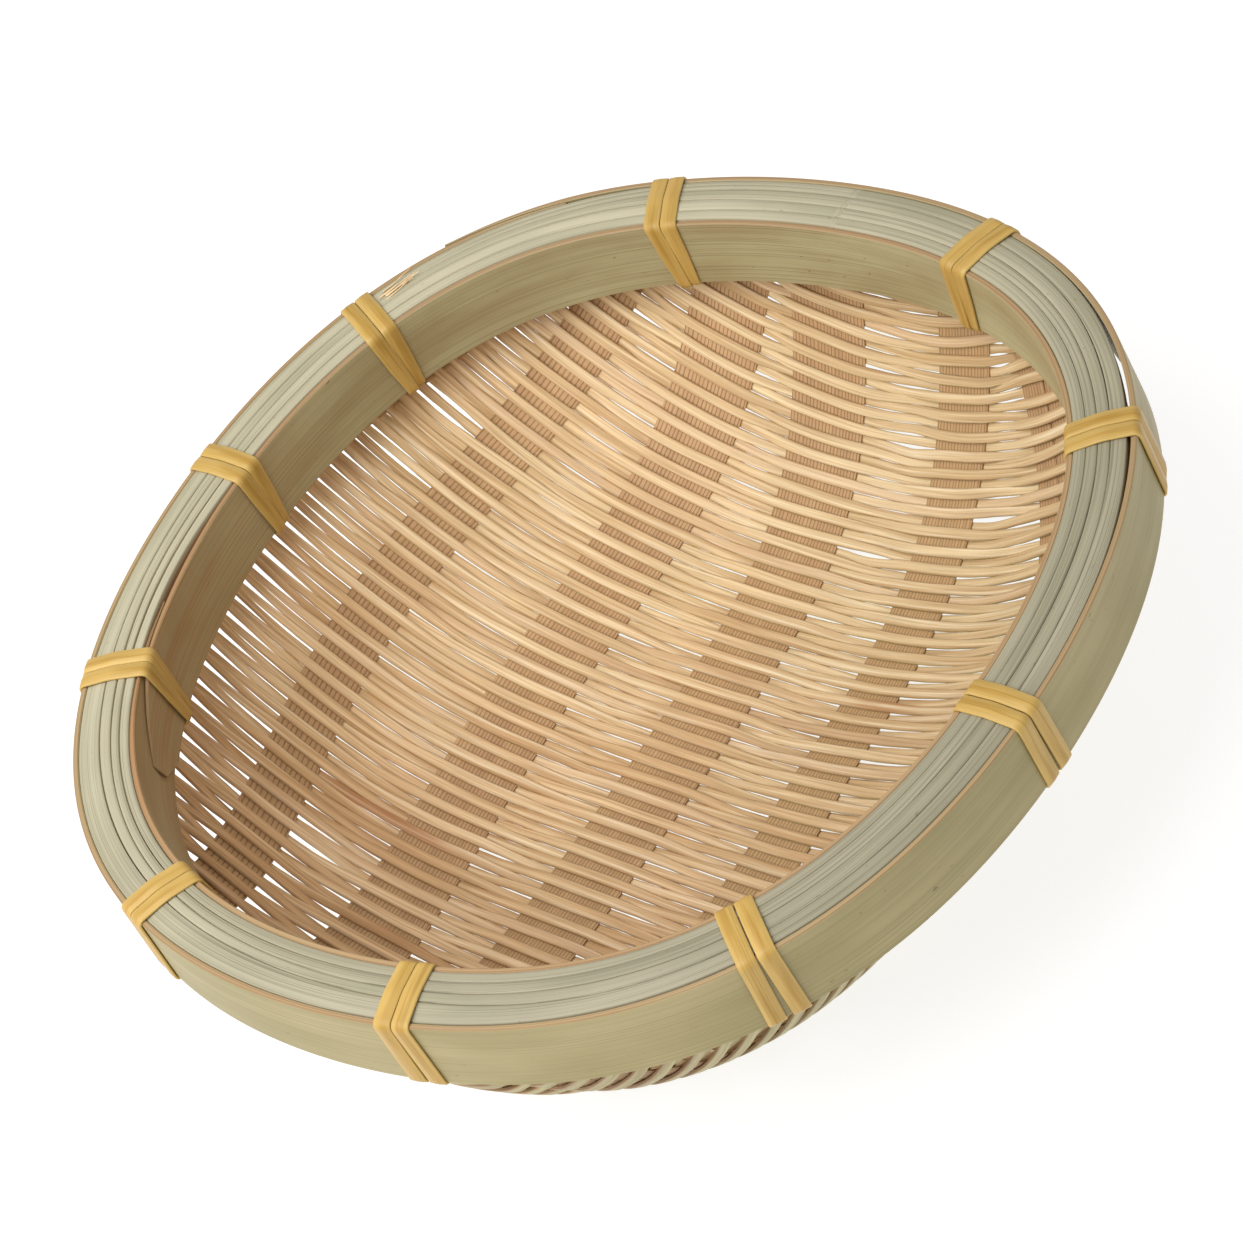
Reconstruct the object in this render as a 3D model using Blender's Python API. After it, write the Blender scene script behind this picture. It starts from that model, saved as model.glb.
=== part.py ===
"""Round bamboo strainer basket: a plain-woven bowl clamped between two split-bamboo hoops.

Metres, +Z up. The origin is on the resting plane, under the centre of the rim. Warps run along X
and wefts along Y. Neighbouring pieces keep a clearance of CLEARANCE.
"""

from math import atan2, cos, hypot, pi, radians, sin, sqrt

import bmesh
import bpy
from mathutils import Vector

# ---------------------------------------------------------------- driving dimensions
MM = 0.001
CLEARANCE = 0.3 * MM
MITRE_LIMIT = 1.25               # smallest sum of the two unit sides at a strip's corner
SHARP_EDGE = 35.0                # degrees
PROBE = 0.4 * MM                 # half the step over which a slope is taken
HALVINGS = 40                    # in a search for a place on the wall
FINE_STEPS = 800                 # in measuring the length of a curve

RIM_RADIUS = 105.0 * MM          # outer face of the outer hoop, at its top edge
HOOP_HEIGHT = 16.3 * MM
HOOP_THICKNESS = 1.2 * MM
OUTER_HOOP_FLARE = 0.9 * MM      # how much wider the outer hoop is at its bottom edge
INNER_HOOP_RADIUS = 91.8 * MM    # inner face of the inner hoop, at its top edge
INNER_HOOP_DROP = 0.4 * MM       # top edge of the inner hoop below that of the outer one
INNER_HOOP_TAPER = 0.8 * MM      # how much narrower the inner hoop is at its bottom edge
SCARF_TIP = 0.35 * MM            # thickness left at the tip of a scarfed hoop end
OUTER_LAP_START = 37.5           # degrees, where the outer hoop's covered end begins
INNER_LAP_START = 112.5          # degrees, where the inner hoop's covered end begins
TONGUE_HEIGHT = 0.5              # height of the inner hoop's free tip, as a share of the hoop's
RIM_STATIONS = 48                # sections in one turn of every ring
OUTER_LAP_STATIONS = 2
INNER_LAP_STATIONS = 3

OUT_OF_ROUND = (                 # lobes, height in rim radii, direction of the first lobe
    (2, 0.0131, -45.6),
    (3, 0.0050, -56.7),
    (4, 0.0193, 50.1),
)

BOWL_DEPTH = 49.8 * MM           # from the hoops' bottom edge to the bowl's middle surface
BOWL_POWER = 4.37                # the higher, the flatter the bottom and the steeper the wall
UNEVEN_POWER = (                 # lobes, height in powers, direction of the first lobe
    (1, 1.47, 162.2),
    (2, 1.30, 0.0),
)
WALL_SLOPE = 2.27                # rise over run where the wall meets the hoops

WARP_THICKNESS = 0.6 * MM
WARP_STATIONS = 26
WARP_END_HEIGHT = 1.5 * MM       # how far a warp reaches up between the hoops
WARP_SPLIT = 0.5 * MM            # half the slit between two warps that lie side by side
WARPS = (                        # middle at the centre line, width and bow, all in rim radii
    (("warp_1", "warp_2"), -0.700, 0.138, 0.58),
    (("warp_3",), -0.262, 0.130, 0.25),
    (("warp_4",), 0.071, 0.168, -0.79),
    (("warp_5",), 0.440, 0.168, 0.37),
    (("warp_6",), 0.757, 0.120, 0.46),
    (("warp_7",), 0.938, 0.045, 0.55),
)

WEFT_THICKNESS = 0.7 * MM
WEFT_WIDTH = 1.7 * MM
WEFT_STRIPS = 29
RUNS_PER_STRIP = 4
WEFT_DROP = 7.5 * MM             # outermost weft below the hoops, on the centre line
TURN_HEIGHT = 3.3 * MM           # lowest turn of a weft above the hoops' bottom edge
WEFT_GAP = 0.36 * MM             # clearance between two wefts side by side on the flat
STEEPEST = 0.35                  # least upward part of a normal that widens this clearance
RIM_SWING = 0.45 * MM            # extra stand-off of a weft between the hoops
LEAST_STEP = 0.6 * MM            # between two stops of a weft
TURN_WIDTH = 1.1 * MM            # width of a weft where it turns back between the hoops

FILLER_WIDTHS = (2.5 * MM, 2.2 * MM, 2.4 * MM, 2.2 * MM)
FILLER_HEIGHT = 3.0 * MM         # of the outermost splints, below the rim's top
FILLER_CROWN = 0.55 * MM         # how much higher the middle of the rim's top is
CORE_SLACK = 1.0 * MM            # room between the packing and the weave's ends
CORE_LIFT = 1.0 * MM             # bottom of the packing above the hoops' bottom edge

BAND_WIDTH = 3.5 * MM
BAND_THICKNESS = 0.55 * MM
BAND_FOOT_WIDTH = 2.1 * MM
BINDINGS = (                     # direction, gap at the outer foot, gap on top, lean of the feet
    (24.6, 0.5 * MM, 0.35 * MM, 1.0 * MM),
    (64.7, 0.4 * MM, 0.35 * MM, 0.6 * MM),
    (90.8, 0.5 * MM, 0.35 * MM, -0.6 * MM),
    (122.2, 0.5 * MM, 0.35 * MM, -0.8 * MM),
    (158.2, 0.5 * MM, 0.35 * MM, 0.9 * MM),
    (195.1, 0.6 * MM, 0.35 * MM, 0.8 * MM),
    (232.8, 1.3 * MM, 0.50 * MM, 0.0 * MM),
    (268.0, 0.7 * MM, 0.40 * MM, 0.5 * MM),
    (304.8, 0.5 * MM, 0.35 * MM, -0.6 * MM),
    (339.6, 0.5 * MM, 0.35 * MM, -0.4 * MM),
)

# ---------------------------------------------------------------- what follows from them
WEAVE_SWING = WARP_THICKNESS / 2 + CLEARANCE + WEFT_THICKNESS / 2
WEAVE_HALF = WEAVE_SWING + WEFT_THICKNESS / 2
HOOP_BOTTOM = WEAVE_HALF + BOWL_DEPTH
RIM_TOP = HOOP_BOTTOM + HOOP_HEIGHT
WARP_TOP = HOOP_BOTTOM + WARP_END_HEIGHT
OUTER_HOOP_INSIDE = RIM_RADIUS - HOOP_THICKNESS
INNER_HOOP_OUTSIDE = INNER_HOOP_RADIUS + HOOP_THICKNESS
RIM_SAG = RIM_RADIUS * (1 - cos(pi / RIM_STATIONS))
LAP_BULGE = SCARF_TIP + CLEARANCE
RIM_WEAVE_HALF = WEAVE_HALF + RIM_SWING
WEAVE_RADIUS = OUTER_HOOP_INSIDE - RIM_SAG - CLEARANCE / 2 - RIM_WEAVE_HALF

SKIN_KHAKI = (0.46, 0.43, 0.24)
SKIN_GREEN = (0.42, 0.42, 0.30)
FLESH_TAN = (0.62, 0.43, 0.23)
FLESH_PALE = (0.70, 0.52, 0.30)
BAND_YELLOW = (0.66, 0.44, 0.10)
STRIP_ROUGHNESS = 0.6
BAND_ROUGHNESS = 0.4


# ---------------------------------------------------------------- scene and materials
def clear_scene():
    for item in list(bpy.data.objects):
        bpy.data.objects.remove(item, do_unlink=True)


def add_material(name, colour, roughness):
    material = bpy.data.materials.new(name)
    material.use_nodes = True
    shader = material.node_tree.nodes["Principled BSDF"]
    shader.inputs["Base Color"].default_value = (*colour, 1.0)
    shader.inputs["Roughness"].default_value = roughness
    shader.inputs["Metallic"].default_value = 0.0
    return material


# ---------------------------------------------------------------- mesh helpers
def add_sweep(name, sections, closed, colour, roughness):
    """Skin a list of four-cornered sections as one closed body."""
    mesh = bpy.data.meshes.new(name)
    work = bmesh.new()
    rows = [[work.verts.new(corner) for corner in section] for section in sections]
    count = len(rows)
    for index in range(count if closed else count - 1):
        near, far = rows[index], rows[(index + 1) % count]
        for side in range(4):
            after = (side + 1) % 4
            work.faces.new((near[side], near[after], far[after], far[side]))
    if not closed:
        work.faces.new(rows[0])
        work.faces.new(list(reversed(rows[-1])))
    bmesh.ops.triangulate(work, faces=work.faces[:])
    bmesh.ops.recalc_face_normals(work, faces=work.faces[:])
    work.to_mesh(mesh)
    work.free()
    mesh.shade_smooth()
    mesh.set_sharp_from_angle(angle=radians(SHARP_EDGE))
    mesh.materials.append(add_material(name, colour, roughness))
    part = bpy.data.objects.new(name, mesh)
    bpy.context.scene.collection.objects.link(part)
    return part


def strip_sections(points, normals, widths, thickness):
    """Sections of a flat strip that follows points, mitred where it turns in its own plane."""
    sections = []
    last = len(points) - 1
    for index, (point, normal, width) in enumerate(zip(points, normals, widths)):
        unit = normal.normalized()
        before = points[max(index, 1)] - points[max(index - 1, 0)]
        after = points[min(index + 1, last)] - points[min(index, last - 1)]
        middle = unit.cross(before).normalized() + unit.cross(after).normalized()
        across = middle.normalized() * (width / max(middle.length, MITRE_LIMIT))
        half = normal * (thickness / 2)
        low, high = point - half, point + half
        sections.append((low - across, low + across, high + across, high - across))
    return sections


# ---------------------------------------------------------------- rim outline
def lobed(lobes, angle):
    """The sum of lobes round the rim, in this direction."""
    return sum(height * cos(count * (angle - radians(first))) for count, height, first in lobes)


def outline_offset(angle):
    """How far the rim stands out from a true circle in this direction."""
    return RIM_RADIUS * lobed(OUT_OF_ROUND, angle)


def rim_point(radius, angle, height):
    reach = radius + outline_offset(angle)
    return Vector((reach * cos(angle), reach * sin(angle), height))


def station_angle(start, index):
    return radians(start) + 2 * pi * index / RIM_STATIONS


def ring_section(angle, low, high):
    """low and high are (inner radius, outer radius, height) of a ring's bottom and top."""
    return (
        rim_point(low[0], angle, low[2]),
        rim_point(low[1], angle, low[2]),
        rim_point(high[1], angle, high[2]),
        rim_point(high[0], angle, high[2]),
    )


# ---------------------------------------------------------------- hoops
def lap_state(index, lap):
    """Thickness of a scarfed hoop at a station, and how far it stands off its covered end.

    The hoop starts as a thin tip, and after one turn it runs over that tip and thins out itself.
    """
    full = HOOP_THICKNESS
    growth = (full - SCARF_TIP) / lap
    if index < lap:
        return SCARF_TIP + growth * index, 0.0
    if index < RIM_STATIONS - 1:
        return full, 0.0
    if index < RIM_STATIONS:
        return full, LAP_BULGE / 2
    step = index - RIM_STATIONS
    return full - growth * step, LAP_BULGE + growth * step


def add_outer_hoop():
    sections = []
    for index in range(RIM_STATIONS + OUTER_LAP_STATIONS + 1):
        angle = station_angle(OUTER_LAP_START, index)
        thickness, lift = lap_state(index, OUTER_LAP_STATIONS)
        inside = OUTER_HOOP_INSIDE + lift
        low = (inside + OUTER_HOOP_FLARE, inside + OUTER_HOOP_FLARE + thickness, HOOP_BOTTOM)
        high = (inside, inside + thickness, RIM_TOP)
        sections.append(ring_section(angle, low, high))
    return add_sweep("outer_hoop", sections, False, SKIN_KHAKI, STRIP_ROUGHNESS)


def add_inner_hoop():
    sections = []
    bottom = HOOP_BOTTOM - INNER_HOOP_DROP
    top = RIM_TOP - INNER_HOOP_DROP
    last = RIM_STATIONS + INNER_LAP_STATIONS
    for index in range(last + 1):
        angle = station_angle(INNER_LAP_START, index)
        thickness, lift = lap_state(index, INNER_LAP_STATIONS)
        outside = INNER_HOOP_OUTSIDE - lift
        foot = outside - INNER_HOOP_TAPER
        trim = HOOP_HEIGHT * (1 - TONGUE_HEIGHT) / 2 if index == last else 0.0
        low = (foot - thickness, foot, bottom + trim)
        high = (outside - thickness, outside, top - trim)
        sections.append(ring_section(angle, low, high))
    return add_sweep("inner_hoop", sections, False, SKIN_KHAKI, STRIP_ROUGHNESS)


# ---------------------------------------------------------------- splints between the hoops
def add_ring(name, inside, outside, bottom, top, colour):
    sections = []
    for index in range(RIM_STATIONS):
        angle = station_angle(0.0, index)
        sections.append(ring_section(angle, (inside, outside, bottom), (inside, outside, top)))
    return add_sweep(name, sections, True, colour, STRIP_ROUGHNESS)


def add_fillers():
    slot_start = INNER_HOOP_OUTSIDE + CLEARANCE
    slot_middle = (INNER_HOOP_OUTSIDE + OUTER_HOOP_INSIDE) / 2
    slot_half = slot_middle - INNER_HOOP_OUTSIDE
    inside = slot_start
    for number, width in enumerate(FILLER_WIDTHS, start=1):
        off_middle = (inside + width / 2 - slot_middle) / slot_half
        top = RIM_TOP + FILLER_CROWN * (1 - off_middle ** 2)
        add_ring(f"filler_{number}", inside, inside + width, RIM_TOP - FILLER_HEIGHT, top, SKIN_GREEN)
        inside += width + CLEARANCE


def add_core():
    inside = INNER_HOOP_OUTSIDE + CLEARANCE
    outside = WEAVE_RADIUS - RIM_WEAVE_HALF - RIM_SAG - CORE_SLACK
    top = RIM_TOP - FILLER_HEIGHT - CLEARANCE
    add_ring("rim_core", inside, outside, HOOP_BOTTOM + CORE_LIFT, top, FLESH_TAN)


# ---------------------------------------------------------------- the woven bowl
def weave_point(x, y, top=None):
    """The weave's middle surface: a flat-bottomed bowl that turns up between the hoops.

    With top given, what would rise above that height runs along it instead.
    """
    angle = atan2(y, x)
    radius = hypot(x, y)
    rim = WEAVE_RADIUS + outline_offset(angle)
    if radius <= rim:
        power = BOWL_POWER + lobed(UNEVEN_POWER, angle)
        return Vector((x, y, HOOP_BOTTOM - BOWL_DEPTH * (1 - (radius / rim) ** power)))
    height = HOOP_BOTTOM + WALL_SLOPE * (radius - rim)
    if top is not None:
        height = min(height, top)
    return Vector((rim * cos(angle), rim * sin(angle), height))


def weave_slopes(x, y):
    """How the weave's middle surface moves for each metre gone along X, and along Y."""
    along = weave_point(x + PROBE, y) - weave_point(x - PROBE, y)
    across = weave_point(x, y + PROBE) - weave_point(x, y - PROBE)
    return along / (2 * PROBE), across / (2 * PROBE)


def weave_normal(x, y):
    along, across = weave_slopes(x, y)
    return along.cross(across).normalized()


def weft_width(x, y, spacing):
    """A weft is as wide as its slot allows, with more clearance the steeper the wall is."""
    along, across = weave_slopes(x, y)
    normal = along.cross(across.normalized())
    slot = spacing * normal.length
    return min(WEFT_WIDTH, slot - WEFT_GAP / max(normal.normalized().z, STEEPEST))


def reach_height(start, direction, height):
    """How far to go from start, outward along direction, to stand at this height on the wall."""
    low = 0.0
    high = 2 * RIM_RADIUS
    for _ in range(HALVINGS):
        middle = (low + high) / 2
        spot = weave_point(start[0] + direction[0] * middle, start[1] + direction[1] * middle)
        if spot.z < height:
            low = middle
        else:
            high = middle
    return low


def even_stations(start, end, count):
    """Stations from start to end along X that are evenly spaced on the bowl's surface."""
    xs = [start + (end - start) * index / FINE_STEPS for index in range(FINE_STEPS + 1)]
    spots = [weave_point(x, 0.0) for x in xs]
    travelled = [0.0]
    for near, far in zip(spots, spots[1:]):
        travelled.append(travelled[-1] + (far - near).length)
    stations = []
    cursor = 0
    for index in range(count):
        target = travelled[-1] * index / (count - 1)
        while cursor < FINE_STEPS - 1 and travelled[cursor + 1] < target:
            cursor += 1
        share = (target - travelled[cursor]) / (travelled[cursor + 1] - travelled[cursor])
        stations.append(xs[cursor] + share * (xs[cursor + 1] - xs[cursor]))
    return stations


class Warp:
    """A wide strip along X, or two side by side, as a row of straight cross lines.

    The cross lines lie on the weave's middle surface.
    """

    def __init__(self, names, middle, width, bow):
        self.names = names
        self.middle = middle * RIM_RADIUS
        self.width = width * RIM_RADIUS
        self.bow = bow
        ends = [self.end_reach(side, WARP_TOP) for side in (-1, 1)]
        brims = [self.end_reach(side, HOOP_BOTTOM) for side in (-1, 1)]
        self.stations = [ends[0], *even_stations(brims[0], brims[1], WARP_STATIONS - 2), ends[1]]
        self.lines = [[weave_point(x, y, WARP_TOP) for y in self.edges(x)] for x in self.stations]
        self.normals = [[weave_normal(x, y) for y in self.edges(x)] for x in self.stations]

    def centre(self, x):
        return self.middle * (1 - self.bow * (x / RIM_RADIUS) ** 2)

    def edges(self, x):
        """The strip's two edges in plan: a strip on a sloping wall looks narrower from above."""
        y = self.centre(x)
        half = self.width / 2 / sqrt(1 + weave_slopes(x, y)[1].z ** 2)
        return y - half, y + half

    def end_reach(self, side, top):
        """Where the strip's inner edge reaches this height: the end is cut along the rim."""
        low = 0.0
        high = 1.2 * RIM_RADIUS
        for _ in range(HALVINGS):
            middle = (low + high) / 2
            inner_edge = min(self.edges(side * middle), key=abs)
            if weave_point(side * middle, inner_edge).z < top:
                low = middle
            else:
                high = middle
        return side * low

    def crossing(self, x, brims):
        """Stops of a weft at x on this warp, between the brims: Y, point, normal, full crossing."""
        for index in range(WARP_STATIONS - 1):
            if self.stations[index] <= x <= self.stations[index + 1]:
                break
        else:
            return []
        near, far = self.lines[index], self.lines[index + 1]
        share = (x - self.stations[index]) / (self.stations[index + 1] - self.stations[index])
        low = near[0].lerp(far[0], share)
        high = near[1].lerp(far[1], share)
        run = (far[0] + far[1]) - (near[0] + near[1])
        normal = run.cross(high - low).normalized()
        start, end = self.edges(x)
        places = (max(start, brims[0]), min(end, brims[1]))
        if places[0] >= places[1]:
            return []
        full = places == (start, end)
        return [(y, low.lerp(high, (y - start) / (end - start)), normal, full) for y in places]

    def build(self):
        shares = [index / len(self.names) for index in range(len(self.names) + 1)]
        for name, start, end in zip(self.names, shares, shares[1:]):
            sections = []
            for (low, high), normals in zip(self.lines, self.normals):
                slit = WARP_SPLIT / (high - low).length
                sides = (start + (slit if start > 0 else 0), end - (slit if end < 1 else 0))
                near, far = (low.lerp(high, share) for share in sides)
                near_half, far_half = (
                    normals[0].lerp(normals[1], share).normalized() * (WARP_THICKNESS / 2)
                    for share in sides
                )
                sections.append((near - near_half, far - far_half, far + far_half, near + near_half))
            add_sweep(name, sections, False, FLESH_TAN, STRIP_ROUGHNESS)


def weft_side(number, order):
    """+1 where this weft passes inside the warp of this order, -1 where it passes outside."""
    return 1 if (number + order) % 2 == 0 else -1


def weft_run(number, x, spacing, warps, ends):
    """Points, normals and widths of one pass of a weft, from its low end to its high end in Y."""
    brims = [side * reach_height((x, 0.0), (0.0, side), HOOP_BOTTOM) for side in (-1, 1)]
    stops = []
    for order, warp in enumerate(warps):
        side = weft_side(number, order)
        for y, point, normal, full in warp.crossing(x, brims):
            swing = (WEAVE_SWING if full else WEAVE_SWING + RIM_SWING) * side
            stops.append((y, point + normal * swing, normal, side))
    tails = (brims[0], ends[0], stops[0][3]), (brims[1], ends[1], stops[-1][3])
    crossed = [stop[0] for stop in stops]
    for brim, end, side in tails:
        for y in (brim, end):
            if min(abs(y - other) for other in crossed) < LEAST_STEP:
                continue
            normal = weave_normal(x, y)
            swing = (WEAVE_SWING + RIM_SWING) * side
            stops.append((y, weave_point(x, y) + normal * swing, normal, side))
    stops.sort(key=lambda stop: stop[0])
    widths = [TURN_WIDTH, *(weft_width(x, stop[0], spacing) for stop in stops[1:-1]), TURN_WIDTH]
    return [(stop[1], stop[2], width) for stop, width in zip(stops, widths)]


def add_wefts(warps):
    count = WEFT_STRIPS * RUNS_PER_STRIP
    brim = HOOP_BOTTOM - WEFT_DROP
    low, high = (reach_height((0.0, 0.0), (side, 0.0), brim) for side in (-1, 1))
    xs = even_stations(-low, high, count)
    turn = HOOP_BOTTOM + TURN_HEIGHT
    for strip in range(WEFT_STRIPS):
        chain = []
        numbers = range(strip * RUNS_PER_STRIP, (strip + 1) * RUNS_PER_STRIP)
        for step, number in enumerate(numbers):
            ends = []
            for direction in (-1, 1):
                partner = number + 1 if (step % 2 == 0) == (direction > 0) else number - 1
                partner = partner if partner in numbers else number
                columns = (xs[number], xs[partner])
                reaches = [reach_height((x, 0.0), (0.0, direction), turn) for x in columns]
                ends.append(direction * max(reaches))
            neighbours = [xs[other] for other in (number - 1, number + 1) if 0 <= other < count]
            spacing = min(abs(xs[number] - x) for x in neighbours)
            run = weft_run(number, xs[number], spacing, warps, ends)
            chain += run if step % 2 == 0 else run[::-1]
        sections = strip_sections(*zip(*chain), WEFT_THICKNESS)
        add_sweep(f"weft_{strip + 1:02d}", sections, False, FLESH_PALE, STRIP_ROUGHNESS)


# ---------------------------------------------------------------- bindings
def add_binding(number, direction, foot_gap, top_gap, lean):
    """One strip wound over the rim twice: two bands side by side that meet at the inner foot."""
    angle = radians(direction)
    lift = CLEARANCE + BAND_THICKNESS / 2
    outside = RIM_RADIUS + lift
    top = RIM_TOP + FILLER_CROWN + lift
    foot = HOOP_BOTTOM - lift
    inside = INNER_HOOP_RADIUS - RIM_SAG - lift
    inner_lap_end = INNER_LAP_START + 360.0 * INNER_LAP_STATIONS / RIM_STATIONS
    if INNER_LAP_START < direction < inner_lap_end:
        inside -= LAP_BULGE
    tuck = OUTER_HOOP_INSIDE + OUTER_HOOP_FLARE + HOOP_THICKNESS / 2
    step = radians(1.0)
    up = Vector((0.0, 0.0, 1.0))
    near, far = (rim_point(RIM_RADIUS, angle + turn, 0.0) for turn in (-step, step))
    along = (far - near).normalized()
    outward = along.cross(up)
    top_aside = (BAND_WIDTH + top_gap) / 2
    foot_aside = (BAND_WIDTH + foot_gap) / 2
    meet_aside = (BAND_FOOT_WIDTH + CLEARANCE) / 2
    meet_height = HOOP_BOTTOM - INNER_HOOP_DROP
    bands = []
    for side in (-1, 1):
        path = (
            (tuck, foot, side * foot_aside + lean, -up, BAND_WIDTH),
            (outside + OUTER_HOOP_FLARE, foot, side * foot_aside + lean, outward - up, BAND_WIDTH),
            (outside, top, side * top_aside, outward + up, BAND_WIDTH),
            (inside, top, side * top_aside, up - outward, BAND_WIDTH),
            (inside - INNER_HOOP_TAPER, meet_height, side * meet_aside - lean, -outward, BAND_FOOT_WIDTH),
        )
        band = []
        for radius, height, aside, normal, width in path:
            band.append((rim_point(radius, angle, height) + along * aside, normal, width))
        bands.append(band)
    sections = strip_sections(*zip(*bands[0], *reversed(bands[1])), BAND_THICKNESS)
    add_sweep(f"binding_{number:02d}", sections, False, BAND_YELLOW, BAND_ROUGHNESS)


# ---------------------------------------------------------------- assembly
def main():
    clear_scene()
    add_outer_hoop()
    add_inner_hoop()
    add_core()
    add_fillers()
    warps = [Warp(*row) for row in WARPS]
    for warp in warps:
        warp.build()
    add_wefts(warps)
    for number, row in enumerate(BINDINGS, start=1):
        add_binding(number, *row)


main()
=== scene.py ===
from math import cos, pi, radians, sin

import bmesh
import bpy
import numpy as np
from mathutils import Euler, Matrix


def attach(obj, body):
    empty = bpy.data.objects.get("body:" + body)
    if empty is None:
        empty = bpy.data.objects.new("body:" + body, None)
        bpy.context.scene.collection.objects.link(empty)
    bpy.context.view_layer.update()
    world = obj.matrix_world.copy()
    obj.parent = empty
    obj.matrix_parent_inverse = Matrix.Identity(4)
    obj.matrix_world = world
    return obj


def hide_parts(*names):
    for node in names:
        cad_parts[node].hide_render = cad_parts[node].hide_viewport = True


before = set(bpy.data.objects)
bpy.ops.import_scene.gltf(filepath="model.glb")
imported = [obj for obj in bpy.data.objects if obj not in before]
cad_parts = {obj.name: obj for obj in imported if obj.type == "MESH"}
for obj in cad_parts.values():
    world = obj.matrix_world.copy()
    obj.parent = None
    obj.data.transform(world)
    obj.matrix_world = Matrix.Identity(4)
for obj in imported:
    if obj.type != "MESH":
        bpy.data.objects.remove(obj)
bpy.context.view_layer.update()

BODY = "root"

# ---------------------------------------------------------------- the part's own dimensions
MM = 0.001
RIM_RADIUS = 105.0 * MM
HOOP_HEIGHT = 16.3 * MM
HOOP_THICKNESS = 1.2 * MM
OUTER_HOOP_FLARE = 0.9 * MM
INNER_HOOP_RADIUS = 91.8 * MM
INNER_HOOP_DROP = 0.4 * MM
INNER_HOOP_TAPER = 0.8 * MM
SCARF_TIP = 0.35 * MM
LAP_CLEARANCE = 0.3 * MM
OUTER_LAP_START = 37.5           # degrees, as are all directions below
INNER_LAP_START = 112.5
LAP_STEP = 7.5                   # the CAD's step round the rim
OUTER_LAP_STEPS = 2
INNER_LAP_STEPS = 3
OUT_OF_ROUND = ((2, 0.0131, -45.6), (3, 0.0050, -56.7), (4, 0.0193, 50.1))
BOWL_DEPTH = 49.8 * MM
BOWL_POWER = 4.37
UNEVEN_POWER = ((1, 1.47, 162.2), (2, 1.30, 0.0))
WALL_SLOPE = 2.27
WEAVE_HALF = 1.3 * MM
HOOP_BOTTOM = WEAVE_HALF + BOWL_DEPTH
RIM_TOP = HOOP_BOTTOM + HOOP_HEIGHT
OUTER_HOOP_INSIDE = RIM_RADIUS - HOOP_THICKNESS
INNER_HOOP_OUTSIDE = INNER_HOOP_RADIUS + HOOP_THICKNESS
WEAVE_RADIUS = 101.675 * MM
WARP_TOP = HOOP_BOTTOM + 1.5 * MM
WARP_THICKNESS = 0.6 * MM
WARPS = (                        # names, middle, width and bow, in rim radii
    (("warp_1", "warp_2"), -0.700, 0.138, 0.58),
    (("warp_3",), -0.262, 0.130, 0.25),
    (("warp_4",), 0.071, 0.168, -0.79),
    (("warp_5",), 0.440, 0.168, 0.37),
    (("warp_6",), 0.757, 0.120, 0.46),
    (("warp_7",), 0.938, 0.045, 0.55),
)
WEFT_STRIPS = 29
RUNS_PER_STRIP = 4
WEFT_DROP = 7.5 * MM
FILLER_CROWN = 0.55 * MM
FILLER_HEIGHT = 3.0 * MM
CORE_LIFT = 1.0 * MM
BAND_WIDTH = 3.5 * MM
BAND_THICKNESS = 0.55 * MM
BINDINGS = (                     # direction, gap at the outer foot, gap on top, lean of the feet
    (24.6, 0.5 * MM, 0.20 * MM, 1.0 * MM),
    (64.7, 0.4 * MM, 0.20 * MM, 0.6 * MM),
    (90.8, 0.5 * MM, 0.20 * MM, -0.6 * MM),
    (122.2, 0.5 * MM, 0.15 * MM, -0.8 * MM),
    (158.2, 0.5 * MM, 0.20 * MM, 0.9 * MM),
    (195.1, 0.6 * MM, 0.20 * MM, 0.8 * MM),
    (232.8, 1.3 * MM, 0.30 * MM, 0.0 * MM),
    (268.0, 0.7 * MM, 0.25 * MM, 0.5 * MM),
    (304.8, 0.5 * MM, 0.20 * MM, -0.6 * MM),
    (339.6, 0.5 * MM, 0.20 * MM, -0.4 * MM),
)

# ---------------------------------------------------------------- what only the finished look has
SEED = 7
WEFT_WIDTH = 2.26 * MM           # where a weft passes a warp, on a flat stretch
WEFT_FILL = 0.95                 # how much of its pitch a weft may fill between the warps
WEFT_FILL_MORE = 0.28            # and how much more of it at a warp
FILL_MORE_FROM = 0.35            # shares of WEFT_SWING between which the second one comes in
FILL_MORE_OVER = 0.60
WEFT_THICKNESS = 0.78 * MM
WEFT_SWING = 0.82 * MM           # how far a weft stands off the middle surface at a warp
WEFT_STEP = 1.5 * MM
WEFT_WANDER = 0.14 * MM
WANDER_PERIODS = (0.031, 0.057, 0.11)
WEFT_SAMPLES = 500               # in measuring a weft's length
TUCK_HEIGHT = 3.0 * MM           # how far the weave goes up between the hoops
EXTRA_WEFTS = 3                  # beyond the CAD's first and last weft
BOWL_SAMPLES = 2400              # in spacing the wefts along the bowl
BOWL_MARGIN = 1.1                # how far beyond the CAD's last weft the samples go
SPREADS = (                      # where wefts stand apart: X, Y, half length along Y, push
    (44.0, 84.0, 9.0, 0.75),
    (29.0, 88.0, 8.0, 0.35),
    (57.0, -9.0, 6.0, 0.40),
    (66.0, -36.0, 8.0, 0.45),
    (78.0, -12.0, 6.0, 0.50),
    (84.0, -44.0, 9.0, 0.55),
    (72.0, -58.0, 7.0, 0.50),
    (90.0, -30.0, 7.0, 0.45),
    (-52.0, 62.0, 6.0, 0.35),
)
SPREAD_REACH = 6.0 * MM
SPREAD_EDGE = 0.9 * MM           # how abruptly the push changes sides
RIM_SLIT = 0.45                  # how much the wefts thin out towards the +Y rim
RIM_SLIT_X = -20.0 * MM
RIM_SLIT_SPAN = 52.0 * MM
RIM_SLIT_REACH = 19.0 * MM
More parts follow.
